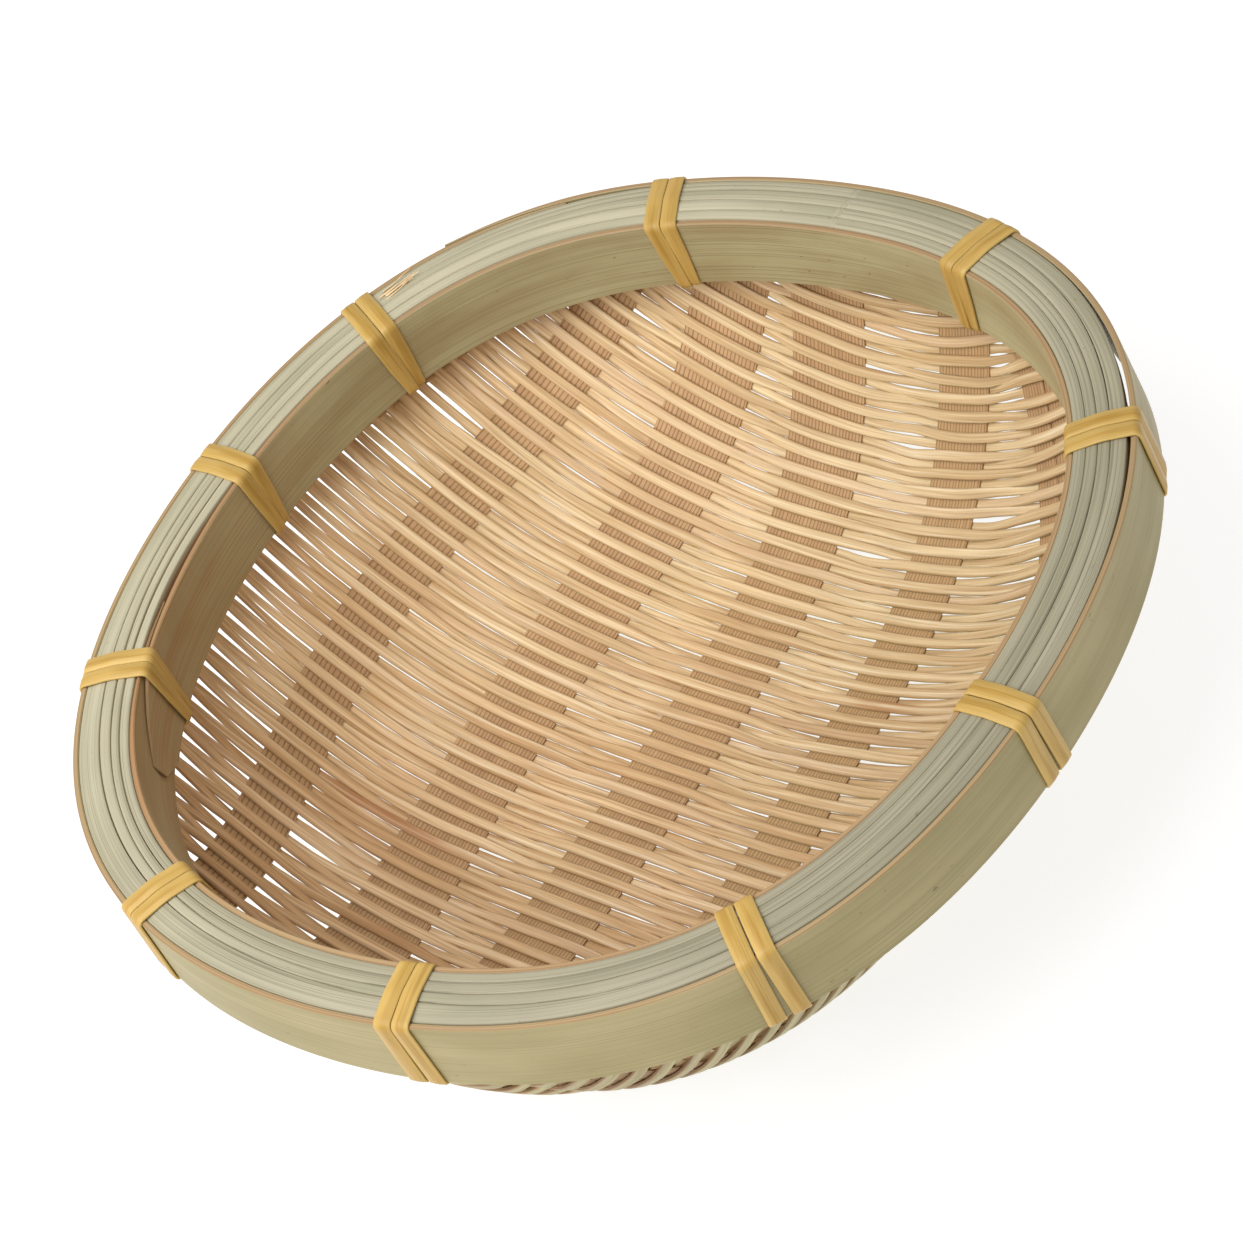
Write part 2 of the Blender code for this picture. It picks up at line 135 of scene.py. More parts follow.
STAINS = (                       # X, lowest Y, highest Y, strength
    (-36.8, 42.0, 72.0, 1.0),
    (24.2, -42.0, -24.0, 0.6),
    (-60.0, 20.0, 44.0, 0.35),
)
WARP_SAMPLES = 900               # in measuring a warp's length
WARP_STATIONS = 170
WARP_COLUMNS = 9
WARP_EDGE = 0.55                 # thickness at a warp's edges, as a share of its middle
WARP_SLIT = 0.012                # half the slit in a pair of warps, as a share of the pair
PAINTED_LIGHT_SIDE = 65.0                 # degrees, where painted light makes the bamboo palest; painted shade falls opposite
BROWN_SIDE = 122.0               # degrees, where the inner hoop is browner
SPLINTERS = 7
SPLINTER_SIDE = 61.8             # degrees, at the edge of the second binding
RIM_STEPS = 360
EDGE_ROUND = 0.22 * MM
HOOP_CUT = np.array((1, 1, 0.3, 0.3, 1, 1, 0.3, 0.3))     # the cut faces of hoop_section
TONGUE_TOP_TRIM = 0.45           # how much of the inner hoop's end is cut away
TONGUE_FOOT_TRIM = 0.30
CRACKS = (                       # between splints, from inside out: mm, direction and width
    ((0.75, 108, 13),),
    ((0.42, 106, 15), (0.12, 140, 30)),
    ((0.26, 118, 26), (0.05, 60, 30)),
    ((0.20, 132, 40), (0.10, 312, 14)),
    ((0.80, 308, 16), (0.20, 222, 40)),
)
LEAST_CRACK = 0.03               # mm
CRACK_LOBES = (3, 7, 13)
SPLINT_ROUND = 0.14 * MM
SPLINT_LUMPS = 0.05 * MM
SPLINT_SINK = 0.15 * MM          # how far a splint's edge lies below the rim's top
CORE_ROUNDS = 3
CORE_GAP = 0.15 * MM
BAND_GAP = 0.08 * MM             # between a binding and the hoop under it
BAND_BEND = 1.3 * MM
BAND_BEND_STEPS = 6
BAND_STEP = 0.9 * MM
BAND_MEET = 0.95 * MM            # half the distance between its two runs where they meet
SLOPE_PROBE = 0.4 * MM           # half the step over which a slope is taken
HALVINGS = 40                    # in a search for a place on the wall
KEPT_ABOVE = 0.02                # share of the height above top that weave() leaves
GRAIN_SHIFT = 37.0               # moves the grain along from one strip to the next
CAMERA_AT = (-0.25971, -0.40401, 0.51989)
CAMERA_TURN = (41.389, 21.088, -55.051)
CAMERA_LENS = 100.97
CAMERA_SENSOR = 36.0
FLOOR_REACH = 3.0
FLOOR_GREY = 0.35
FLOOR_GLOW = 0.78
WORLD_STRENGTH = 0.50
WHITE = (1.0, 1.0, 1.0, 1.0)


def srgb(red, green, blue):
    """A colour given as 0 to 255 values, in linear light, with alpha."""
    values = np.array((red, green, blue)) / 255.0
    linear = np.where(values <= 0.04045, values / 12.92, ((values + 0.055) / 1.055) ** 2.4)
    return (*(float(v) for v in linear), 1.0)


# ---------------------------------------------------------------- shapes shared with the CAD
def lobed(lobes, angle):
    """The sum of these waves round the rim: lobes, height and first crest, in degrees."""
    return sum(height * np.cos(count * (angle - radians(first))) for count, height, first in lobes)


def outline_offset(angle):
    return RIM_RADIUS * lobed(OUT_OF_ROUND, angle)


def rim_points(radius, angle, height):
    """Points at this radius of a round rim, moved out or in with the real rim."""
    reach = radius + outline_offset(angle)
    return np.stack((reach * np.cos(angle), reach * np.sin(angle), height + 0.0 * reach), axis=-1)


def weave(x, y, top=None):
    """Points on the weave's middle surface, which levels off above top."""
    angle = np.arctan2(y, x)
    radius = np.hypot(x, y)
    rim = WEAVE_RADIUS + outline_offset(angle)
    beyond = np.maximum(radius - rim, 0.0)
    power = BOWL_POWER + lobed(UNEVEN_POWER, angle)
    height = HOOP_BOTTOM - BOWL_DEPTH * (1 - np.minimum(radius / rim, 1.0) ** power)
    height = height + WALL_SLOPE * beyond
    if top is not None:
        height = np.where(height > top, top + KEPT_ABOVE * (height - top), height)
    scale = np.where(beyond > 0, rim / np.maximum(radius, MM), 1.0)
    return np.stack((x * scale, y * scale, height), axis=-1)


def unit(vectors):
    return vectors / np.maximum(np.linalg.norm(vectors, axis=-1, keepdims=True), 1e-12)


def weave_slopes(x, y):
    step = SLOPE_PROBE
    along = (weave(x + step, y) - weave(x - step, y)) / (2 * step)
    across = (weave(x, y + step) - weave(x, y - step)) / (2 * step)
    return along, across


def weave_normal(x, y):
    along, across = weave_slopes(x, y)
    return unit(np.cross(along, across))


def halve(test, high):
    """The largest value up to high for which test still holds."""
    low = 0.0
    for _ in range(HALVINGS):
        middle = (low + high) / 2
        if test(middle):
            low = middle
        else:
            high = middle
    return low


def reach_along_x(side, height):
    return side * halve(lambda d: weave(side * d, 0.0)[2] < height, 2 * RIM_RADIUS)


def reach_along_y(x, side, height):
    return side * halve(lambda d: weave(x, side * d)[2] < height, 2 * RIM_RADIUS)


def arc_lengths(points):
    steps = np.linalg.norm(np.diff(points, axis=0), axis=1)
    return np.concatenate(((0.0,), np.cumsum(steps)))


def warp_centre(row, x):
    return row[1] * RIM_RADIUS * (1 - row[3] * (x / RIM_RADIUS) ** 2)


def warp_edges(row, x):
    y = warp_centre(row, x)
    half = row[2] * RIM_RADIUS / 2 / np.sqrt(1 + weave_slopes(x, y)[1][..., 2] ** 2)
    return y - half, y + half


def warp_reach(row, side, height):
    def below(d):
        inner = min(warp_edges(row, side * d), key=abs)
        return weave(side * d, inner)[2] < height
    return side * halve(below, 1.2 * RIM_RADIUS)


# ---------------------------------------------------------------- mesh building
def make_piece(name, nodes, sweeps, material, sharp=40.0):
    """One object from closed sweeps: (sections, grain, strip, closed) arrays.

    sections is n by k by 3. grain is the position along and across the strip in metres, and a
    number of its own. strip is two random numbers, how much of a cut edge it is, and its stain.
    """
    vertices, faces, grain, strip = [], [], [], []
    start = 0
    for sections, own_grain, own_strip, closed in sweeps:
        count, sides = sections.shape[:2]
        vertices.append(sections.reshape(-1, 3))
        grain.append(own_grain.reshape(-1, 3))
        strip.append(own_strip.reshape(-1, 4))
        index = start + np.arange(count * sides).reshape(count, sides)
        near = index if closed else index[:-1]
        far = np.roll(index, -1, axis=0) if closed else index[1:]
        quads = np.stack((near, np.roll(near, -1, 1), np.roll(far, -1, 1), far), axis=-1)
        faces += quads.reshape(-1, 4).tolist()
        if not closed:
            faces.append(index[0][::-1].tolist())
            faces.append(index[-1].tolist())
        start += count * sides
    mesh = bpy.data.meshes.new(name)
    mesh.from_pydata(np.concatenate(vertices).tolist(), [], faces)
    work = bmesh.new()
    work.from_mesh(mesh)
    bmesh.ops.recalc_face_normals(work, faces=work.faces[:])
    work.to_mesh(mesh)
    work.free()
    own = mesh.attributes.new("grain", "FLOAT_VECTOR", "POINT")
    own.data.foreach_set("vector", np.concatenate(grain).astype(np.float32).ravel())
    own = mesh.attributes.new("strip", "FLOAT_COLOR", "POINT")
    own.data.foreach_set("color", np.concatenate(strip).astype(np.float32).ravel())
    mesh.shade_smooth()
    mesh.set_sharp_from_angle(angle=radians(sharp))
    mesh.materials.append(material)
    piece = bpy.data.objects.new(name, mesh)
    bpy.context.scene.collection.objects.link(piece)
    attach(piece, BODY)
    if nodes:
        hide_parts(*nodes)


def strip_profile(rounding, crown):
    """Corners of a strip's section: across as a share and in metres, then off the face too."""
    return np.array((
        (-1, rounding, -1, 0), (0, 0, -1, 0), (1, -rounding, -1, 0), (1, 0, -1, rounding),
        (1, 0, 1, -rounding), (1, -rounding, 1, 0), (0, 0, 1, crown), (-1, rounding, 1, 0),
        (-1, 0, 1, -rounding), (-1, 0, -1, rounding),
    ))


def strip_sweep(centre, normal, half_width, half_thick, profile, tint, stain=0.0):
    """A flat strip that follows centre; tint is two random numbers."""
    tangent = unit(np.gradient(centre, axis=0))
    across = unit(np.cross(normal, tangent))
    normal = unit(np.cross(tangent, across))
    half_width = np.broadcast_to(half_width, len(centre))
    sideways = profile[:, 0] * half_width[:, None] + profile[:, 1]
    off = profile[:, 2] * half_thick + profile[:, 3]
    sections = (centre[:, None] + across[:, None] * sideways[..., None]
                + normal[:, None] * off[None, :, None])
    grain = np.empty(sections.shape)
    grain[..., 0] = arc_lengths(centre)[:, None]
    grain[..., 1] = sideways
    grain[..., 2] = tint[0] * GRAIN_SHIFT
    strip = np.empty((*sections.shape[:2], 4))
    strip[..., 0], strip[..., 1] = tint
    strip[..., 2] = (np.abs(profile[:, 2] * profile[:, 0]) > 0) * 1.0
    strip[..., 3] = np.broadcast_to(stain, len(centre))[:, None]
    return sections, grain, strip, False


def ring_sweep(angle, radii, heights, edge, tint, closed):
    """A ring: radii and heights are n by k corners, edge is 1 for corners on a cut face."""
    sections = rim_points(radii, angle[:, None], heights)
    grain = np.empty(sections.shape)
    grain[..., 0] = (angle * RIM_RADIUS)[:, None]
    grain[..., 1] = heights + radii
    grain[..., 2] = tint[0] * GRAIN_SHIFT
    strip = np.zeros((*sections.shape[:2], 4))
    strip[..., 0], strip[..., 1] = tint
    strip[..., 2] = edge
    return sections, grain, strip, closed


# ---------------------------------------------------------------- materials
class Graph:
    """A Principled material and short ways to add nodes to it."""

    def __init__(self, name):
        self.material = bpy.data.materials.new(name)
        self.material.use_nodes = True
        self.tree = self.material.node_tree
        self.shader = self.tree.nodes["Principled BSDF"]

    def node(self, kind, inputs=(), **settings):
        node = self.tree.nodes.new(kind)
        for key, value in settings.items():
            setattr(node, key, value)
        for socket, value in dict(inputs).items():
            self.feed(node.inputs[socket], value)
        return node

    def feed(self, socket, value):
        if isinstance(value, bpy.types.NodeSocket):
            self.tree.links.new(value, socket)
        else:
            socket.default_value = value

    def math(self, operation, first, second=0.0, clamp=False):
        inputs = {0: first, 1: second}
        return self.node("ShaderNodeMath", inputs, operation=operation, use_clamp=clamp).outputs[0]

    def attribute(self, name):
        return self.node("ShaderNodeAttribute", attribute_name=name)

    def grain(self):
        return self.attribute("grain").outputs["Vector"]

    def strip(self):
        """What make_piece keeps of a strip: two random numbers, cut edge and stain."""
        values = self.attribute("strip")
        parts = self.node("ShaderNodeSeparateColor", {0: values.outputs["Color"]})
        return (*parts.outputs, values.outputs["Alpha"])

    def scaled(self, vector, factors):
        inputs = {0: vector, 1: factors}
        return self.node("ShaderNodeVectorMath", inputs, operation="MULTIPLY").outputs[0]

    def noise(self, vector, detail=2.0, roughness=0.5):
        inputs = {"Vector": vector, "Scale": 1.0, "Detail": detail, "Roughness": roughness}
        return self.node("ShaderNodeTexNoise", inputs).outputs["Fac"]

    def spread(self, value, low, high, to_low=0.0, to_high=1.0):
        inputs = {"Value": value, 1: low, 2: high, 3: to_low, 4: to_high}
        return self.node("ShaderNodeMapRange", inputs, clamp=True).outputs[0]

    def mix(self, factor, first, second, blend="MIX"):
        node = self.node("ShaderNodeMix", data_type="RGBA", blend_type=blend)
        self.feed(node.inputs["Factor"], factor)
        self.feed(node.inputs["A"], first)
        self.feed(node.inputs["B"], second)
        return node.outputs["Result"]

    def dim(self, colour, value):
        """colour times a grey value."""
        grey = self.node("ShaderNodeCombineColor", {0: value, 1: value, 2: value}).outputs[0]
        return self.mix(1.0, colour, grey, "MULTIPLY")

    def finish(self, colour, roughness, height, strength, distance):
        self.feed(self.shader.inputs["Base Color"], colour)
        self.feed(self.shader.inputs["Roughness"], roughness)
        inputs = {"Height": height, "Strength": strength, "Distance": distance}
        bump = self.node("ShaderNodeBump", inputs)
        self.feed(self.shader.inputs["Normal"], bump.outputs["Normal"])
        self.shader.inputs["Specular IOR Level"].default_value = 0.35
        return self.material


def place(graph):
    return graph.node("ShaderNodeTexCoord").outputs["Object"]


def part_of(graph, vector, index):
    return graph.node("ShaderNodeSeparateXYZ", {0: vector}).outputs[index]


def towards(graph, direction):
    """How far a point lies in this direction from the middle of the rim."""
    side = (cos(radians(direction)), sin(radians(direction)), 0.0)
    inputs = {0: place(graph), 1: side}
    return graph.node("ShaderNodeVectorMath", inputs, operation="DOT_PRODUCT").outputs["Value"]


def painted_side_light(graph, amount):
    """A grey value of painted light and shade: paler by amount towards the lit side set at the top,
    and darker opposite.
    """
    far = towards(graph, PAINTED_LIGHT_SIDE)
    return graph.spread(far, -RIM_RADIUS, RIM_RADIUS, 1 - amount, 1 + amount)


def weft_material():
    g = Graph("split_bamboo_weft")
    grain = g.grain()
    own, second, _, stain = g.strip()
    fibres = g.noise(g.scaled(grain, (70.0, 5200.0, 1.0)), 2.0)
    streaks = g.noise(g.scaled(grain, (22.0, 1100.0, 1.0)), 3.0, 0.6)
    patches = g.noise(g.scaled(place(g), (26.0, 26.0, 26.0)), 2.0)
    colour = g.mix(g.spread(own, 0.0, 1.0), srgb(208, 174, 130), srgb(228, 199, 157))
    yellow = g.spread(part_of(g, place(g), 0), -0.07, 0.08)
    warm = g.math("ADD", yellow, g.spread(patches, 0.3, 0.7, -0.3, 0.3), clamp=True)
    tone = g.mix(warm, srgb(255, 244, 236), srgb(250, 254, 250))
    colour = g.mix(1.0, colour, tone, "MULTIPLY")
    colour = g.mix(g.spread(streaks, 0.50, 0.70, 0.0, 0.65), colour, srgb(170, 128, 84))
    colour = g.mix(g.spread(streaks, 0.48, 0.32, 0.0, 0.60), colour, srgb(246, 228, 194))
    colour = g.mix(g.spread(second, 0.75, 1.0, 0.0, 0.35), colour, srgb(218, 184, 152))
    # painted shade: each weft darkens towards its two edges, so that it looks rounded
    aside = g.math("ABSOLUTE", part_of(g, grain, 1))
    colour = g.mix(g.spread(aside, 0.55 * MM, 1.0 * MM, 0.0, 0.40), colour, srgb(160, 122, 78))
    colour = g.mix(g.math("MULTIPLY", stain, g.spread(streaks, 0.2, 0.6), clamp=True),
                   colour, srgb(170, 112, 66))
    facing = part_of(g, g.node("ShaderNodeTexCoord").outputs["Normal"], 2)
    skin = g.mix(g.spread(streaks, 0.35, 0.65), srgb(214, 204, 146), srgb(178, 166, 108))
    colour = g.mix(g.spread(facing, 0.0, -0.12, 0.0, 0.85), colour, skin)
    colour = g.dim(colour, g.spread(fibres, 0.28, 0.7, 0.78, 1.06))
    # painted light and shade: the wefts are paler towards one side of the rim and darker opposite
    colour = g.dim(colour, painted_side_light(g, 0.32))
    roughness = g.spread(fibres, 0.3, 0.7, 0.42, 0.60)
    return g.finish(colour, roughness, fibres, 0.75, 0.12 * MM)


def warp_material():
    g = Graph("split_bamboo_warp")
    grain = g.grain()
    own = g.strip()[0]
    lines = g.math("DIVIDE", part_of(g, grain, 1), 0.84 * MM)
    drift = g.noise(g.scaled(grain, (12.0, 300.0, 1.0)), 2.0)
    lines = g.math("FRACT", g.math("ADD", lines, g.spread(drift, 0.0, 1.0, -0.6, 0.6)))
    lines = g.math("ABSOLUTE", g.math("SUBTRACT", lines, 0.5))
    groove = g.spread(lines, 0.0, 0.20)
    fibres = g.noise(g.scaled(grain, (60.0, 4200.0, 1.0)), 2.0)
    patches = g.noise(g.scaled(grain, (16.0, 160.0, 1.0)), 2.0)
    colour = g.mix(g.spread(patches, 0.3, 0.7), srgb(178, 138, 98), srgb(200, 162, 118))
    colour = g.mix(own, colour, srgb(188, 152, 106))
    colour = g.mix(g.spread(groove, 0.0, 1.0, 0.60, 0.0), colour, srgb(98, 66, 38))
    colour = g.dim(colour, g.spread(fibres, 0.3, 0.7, 0.84, 1.03))
    # painted light and shade: the warps are paler towards one side of the rim and darker opposite
    colour = g.dim(colour, painted_side_light(g, 0.26))
    height = g.math("ADD", g.math("MULTIPLY", fibres, 0.35), groove)
    return g.finish(colour, 0.62, height, 0.6, 0.12 * MM)


def skin_material(name, light, dark, edge, line, flecks, roughness, side_light_amount, brown=0.0):
    """Bamboo skin with fine lengthwise lines, and the paler flesh on its cut edges, made paler and
    darker across the rim by painted light and shade.
    """
    g = Graph(name)
    grain = g.grain()
    own, _, cut, _ = g.strip()
    fine = g.noise(g.scaled(grain, (8.0, 4400.0, 1.0)), 3.0, 0.6)
    broad = g.noise(g.scaled(grain, (5.0, 1100.0, 1.0)), 2.0)
    clouds = g.noise(g.scaled(grain, (24.0, 90.0, 1.0)), 3.0)
    spots = g.noise(g.scaled(grain, (380.0, 900.0, 1.0)), 2.0)
    colour = g.mix(g.spread(clouds, 0.34, 0.66), dark, light)
    colour = g.mix(g.spread(own, 0.0, 1.0, 0.0, 0.35), colour, dark)
    colour = g.mix(g.spread(broad, 0.50, 0.72, 0.0, 0.28), colour, line)
    colour = g.mix(g.spread(fine, 0.52, 0.64, 0.0, 0.60), colour, line)
    colour = g.mix(g.spread(spots, 0.71, 0.76, 0.0, flecks), colour, srgb(92, 66, 44))
    flesh = g.mix(g.spread(fine, 0.4, 0.66), edge, srgb(152, 114, 78))
    colour = g.mix(g.spread(cut, 0.35, 0.65), colour, flesh)
    if brown:
        far = towards(g, BROWN_SIDE)
        share = g.spread(far, 0.55 * RIM_RADIUS, 0.95 * RIM_RADIUS, 0.0, brown)
        share = g.math("MULTIPLY", share, g.spread(broad, 0.30, 0.62, 1.0, 0.45))
        colour = g.mix(share, colour, srgb(156, 108, 62))
    # painted light and shade: paler towards one side of the rim and darker opposite, as strong as
    # the last but one argument
    colour = g.dim(colour, painted_side_light(g, side_light_amount))
    height = g.math("ADD", fine, g.math("MULTIPLY", broad, 0.1))
    return g.finish(colour, g.spread(fine, 0.3, 0.7, roughness, roughness + 0.14), height,
                    0.35, 0.10 * MM)


def band_material():
    g = Graph("binding_strip")
    grain = g.grain()
    cut = g.strip()[2]
    fine = g.noise(g.scaled(grain, (40.0, 3800.0, 1.0)), 3.0, 0.6)
    broad = g.noise(g.scaled(grain, (60.0, 500.0, 1.0)), 2.0)
    colour = g.mix(g.spread(broad, 0.34, 0.66), srgb(172, 132, 54), srgb(198, 162, 88))
    colour = g.mix(g.spread(fine, 0.50, 0.68, 0.0, 0.6), colour, srgb(150, 112, 42))
    # painted highlight: each band is lighter along its edges and sides
    colour = g.mix(g.spread(cut, 0.2, 1.0, 0.0, 0.55), colour, srgb(214, 182, 108))
    return g.finish(colour, g.spread(fine, 0.3, 0.7, 0.32, 0.46), fine, 0.5, 0.12 * MM)


# ---------------------------------------------------------------- the weave
def spread_apart(x, y):
    """How far a weft is pushed along X, where neighbouring wefts stand apart."""
    push = 0.0
    for at_x, at_y, length, amount in SPREADS:
        off = x - at_x * MM
        shape = np.tanh(off / SPREAD_EDGE) * np.exp(-(off / SPREAD_REACH) ** 2)
        push = push + amount * MM * shape * np.exp(-((y - at_y * MM) / (length * MM)) ** 2)
    return push


def weft_stations():
    """X of every weft on the centre line, evenly spaced on the bowl, with the extra ones."""
    brim = HOOP_BOTTOM - WEFT_DROP
    low, high = reach_along_x(-1, brim), reach_along_x(1, brim)
    fine = np.linspace(BOWL_MARGIN * low, BOWL_MARGIN * high, BOWL_SAMPLES)
    lengths = arc_lengths(weave(fine, 0.0 * fine))
    first, last = np.interp((low, high), fine, lengths)
    pitch = (last - first) / (WEFT_STRIPS * RUNS_PER_STRIP - 1)
    numbers = np.arange(-EXTRA_WEFTS, WEFT_STRIPS * RUNS_PER_STRIP + EXTRA_WEFTS)
    return numbers, np.interp(first + pitch * numbers, lengths, fine)


def smooth(values, rounds):
    """values averaged with their neighbours, with both ends kept."""
    for _ in range(rounds):
        inner = (values[:-2] + 2 * values[1:-1] + values[2:]) / 4
        values = np.concatenate((values[:1], inner, values[-1:]))
    return values


def weft_run(number, x, spacing, rng, profile):
    """One weft at x, over and under the warps in turn."""
    low, high = (reach_along_y(x, side, HOOP_BOTTOM + TUCK_HEIGHT) for side in (-1, 1))
    fine = np.linspace(low, high, WEFT_SAMPLES)
    lengths = arc_lengths(weave(np.full(WEFT_SAMPLES, x), fine))
    gone = np.linspace(0.0, lengths[-1], int(lengths[-1] / WEFT_STEP) + 2)
    y = np.interp(gone, lengths, fine)
    stops, sides = [], []
    for order, row in enumerate(WARPS):
        start, end = warp_edges(row, x)
        if start > low and end < high:
            stops += [start, end]
            sides += [1 if (number + order) % 2 == 0 else -1] * 2
    stops, sides = [low, *stops, high], [0, *sides, 0]
    lift = smooth(np.interp(y, stops, sides), 2) * WEFT_SWING
    phase = rng.uniform(0, 2 * pi, 3)
    wander = sum(np.sin(y * 2 * pi / period + start)
                 for period, start in zip(WANDER_PERIODS, phase)) / 2
    xs = x + WEFT_WANDER * wander + spread_apart(x, y)
    normal = weave_normal(xs, y)
    centre = weave(xs, y) + normal * lift[:, None]
    along, across = weave_slopes(xs, y)
    slot = spacing * np.linalg.norm(np.cross(along, unit(across)), axis=-1)
    at_warp = np.clip((np.abs(lift) / WEFT_SWING - FILL_MORE_FROM) / FILL_MORE_OVER, 0.0, 1.0)
    width = np.minimum(WEFT_WIDTH * rng.uniform(0.94, 1.03),
                       slot * (WEFT_FILL + WEFT_FILL_MORE * at_warp))
    aside, to_rim = (x - RIM_SLIT_X) / RIM_SLIT_SPAN, (lengths[-1] - gone) / RIM_SLIT_REACH
    width = width * (1 - RIM_SLIT * np.exp(-aside ** 2 - to_rim ** 2))
    stain = 0.0 * y
    for at_x, at_low, at_high, amount in STAINS:
        if abs(x - at_x * MM) < spacing * 0.6:
            middle, half = (at_low + at_high) / 2 * MM, (at_high - at_low) / 2 * MM
            stain += amount * np.exp(-(np.abs(y - middle) / half) ** 4)
    return strip_sweep(centre, normal, width / 2, WEFT_THICKNESS / 2, profile,
                       rng.uniform(0, 1, 2), stain)


def add_wefts(material):
    rng = np.random.default_rng(SEED)
    profile = strip_profile(0.16 * MM, 0.08 * MM)
    numbers, xs = weft_stations()
    spacings = np.minimum(np.diff(xs, prepend=xs[0] - (xs[1] - xs[0])),
                          np.diff(xs, append=xs[-1] + (xs[-1] - xs[-2])))
    strips = {}
    for number, x, spacing in zip(numbers, xs, spacings):
        strip = min(max(int(number) // RUNS_PER_STRIP, 0), WEFT_STRIPS - 1)
        strips.setdefault(strip, []).append(weft_run(number, x, spacing, rng, profile))
    for strip, sweeps in strips.items():
        name = f"{strip + 1:02d}"
        make_piece(f"woven_weft_{name}", [f"weft_{name}"], sweeps, material, 30.0)


def add_warps(material):
    rng = np.random.default_rng(SEED + 1)
    for row in WARPS:
        low, high = (warp_reach(row, side, WARP_TOP) for side in (-1, 1))
        fine = np.linspace(low, high, WARP_SAMPLES)
        lengths = arc_lengths(weave(fine, warp_centre(row, fine), WARP_TOP))
        along = np.linspace(0, lengths[-1], WARP_STATIONS)
        x = np.interp(along, lengths, fine)
        start, end = warp_edges(row, x)
        count = len(row[0])
        for order, name in enumerate(row[0]):
            low_share = order / count + (WARP_SLIT if order else 0.0)
            high_share = (order + 1) / count - (WARP_SLIT if order < count - 1 else 0.0)
            shares = np.linspace(low_share, high_share, WARP_COLUMNS)
            y = start[:, None] + (end - start)[:, None] * shares
            across_x = np.broadcast_to(x[:, None], y.shape)
            middle = weave(across_x, y, WARP_TOP)
            normal = weave_normal(across_x, y) * (WARP_THICKNESS / 2)
            thin = np.ones((WARP_COLUMNS, 1))
            thin[[0, -1]] = WARP_EDGE
            upper, lower = middle + normal * thin, middle - normal * thin
            sections = np.concatenate((lower, upper[:, ::-1]), axis=1)
            grain = np.empty(sections.shape)
            grain[..., 0] = along[:, None]
            wide = (end - start)[:, None] * shares
            grain[..., 1] = np.concatenate((wide, wide[:, ::-1]), axis=1)
            tint = rng.uniform(0, 1, 2)
            grain[..., 2] = tint[0] * GRAIN_SHIFT
            strip = np.zeros((*sections.shape[:2], 4))
            strip[..., 0], strip[..., 1] = tint
            make_piece(f"woven_{name}", [name], [(sections, grain, strip, False)],
                       material, 60.0)


# ---------------------------------------------------------------- the rim
def hoop_section(inside, outside, foot_shift, bottom, top):
    """Corners of a hoop's section with rounded edges: their radii and heights."""
    r = EDGE_ROUND
    radii = [inside + foot_shift + r, outside + foot_shift - r, outside + foot_shift,
             outside, outside - r, inside + r, inside, inside + foot_shift]
    heights = [bottom, bottom, bottom + r, top - r, top, top, top - r, bottom + r]
    return np.stack(radii, axis=1), np.stack(heights, axis=1)


def turn_stations(start, steps):
    """Directions for one turn and its lap, and how many CAD steps each has gone."""
    total = 360 / LAP_STEP + steps
    gone = np.linspace(0, total, int(RIM_STEPS * total * LAP_STEP / 360) + 1)
    return radians(start) + gone * radians(LAP_STEP), gone


def lap_shape(gone, steps):
    """Thickness of the scarfed hoop, and how far it stands off its own covered end."""
    turn = 360 / LAP_STEP
    thick = np.interp(gone, (0, steps, turn, turn + steps),
                      (SCARF_TIP, HOOP_THICKNESS, HOOP_THICKNESS, SCARF_TIP))
    bulge = SCARF_TIP + LAP_CLEARANCE
    lift = np.interp(gone, (0, turn - 2, turn, turn + steps),
                     (0, 0, bulge, HOOP_THICKNESS + LAP_CLEARANCE))
    return thick, lift


def add_outer_hoop(material):
    angle, gone = turn_stations(OUTER_LAP_START, OUTER_LAP_STEPS)
    thick, lift = lap_shape(gone, OUTER_LAP_STEPS)
    inside = OUTER_HOOP_INSIDE + lift
    same = 0.0 * gone
    radii, heights = hoop_section(inside, inside + thick, OUTER_HOOP_FLARE,
                                  HOOP_BOTTOM + same, RIM_TOP + same)
    sweep = ring_sweep(angle, radii, heights, HOOP_CUT, (0.3, 0.5), False)
    make_piece("rim_hoop_outer", ["outer_hoop"], [sweep], material, 35.0)


def add_inner_hoop(material):
    angle, gone = turn_stations(INNER_LAP_START, INNER_LAP_STEPS)
    thick, lift = lap_shape(gone, INNER_LAP_STEPS)
    outside = INNER_HOOP_OUTSIDE - lift
    turn = 360 / LAP_STEP
    end = turn + INNER_LAP_STEPS
    top_trim = HOOP_HEIGHT * np.interp(gone, (turn + 1.2, end), (0, TONGUE_TOP_TRIM))
    foot_trim = HOOP_HEIGHT * np.interp(gone, (turn + 2.4, end), (0, TONGUE_FOOT_TRIM))
    radii, heights = hoop_section(outside - thick, outside, -INNER_HOOP_TAPER,
                                  HOOP_BOTTOM - INNER_HOOP_DROP + foot_trim,
                                  RIM_TOP - INNER_HOOP_DROP - top_trim)
    sweep = ring_sweep(angle, radii, heights, HOOP_CUT, (0.3, 0.5), False)
    make_piece("rim_hoop_inner", ["inner_hoop"], [sweep], material, 35.0)


def swell(degrees, middle, width):
    """A smooth bump of height 1 in this direction."""
    off = (degrees - middle + 180.0) % 360.0 - 180.0
    return np.exp(-(off / width) ** 2)


def splint_top(radius, lumps):
    """Height of the splints' crowned upper side at this radius."""
    middle = (INNER_HOOP_OUTSIDE + OUTER_HOOP_INSIDE) / 2
    half = (OUTER_HOOP_INSIDE - INNER_HOOP_OUTSIDE) / 2
    off = (radius - middle) / half
    return RIM_TOP - SPLINT_SINK + FILLER_CROWN * (1 - off ** 2) + lumps


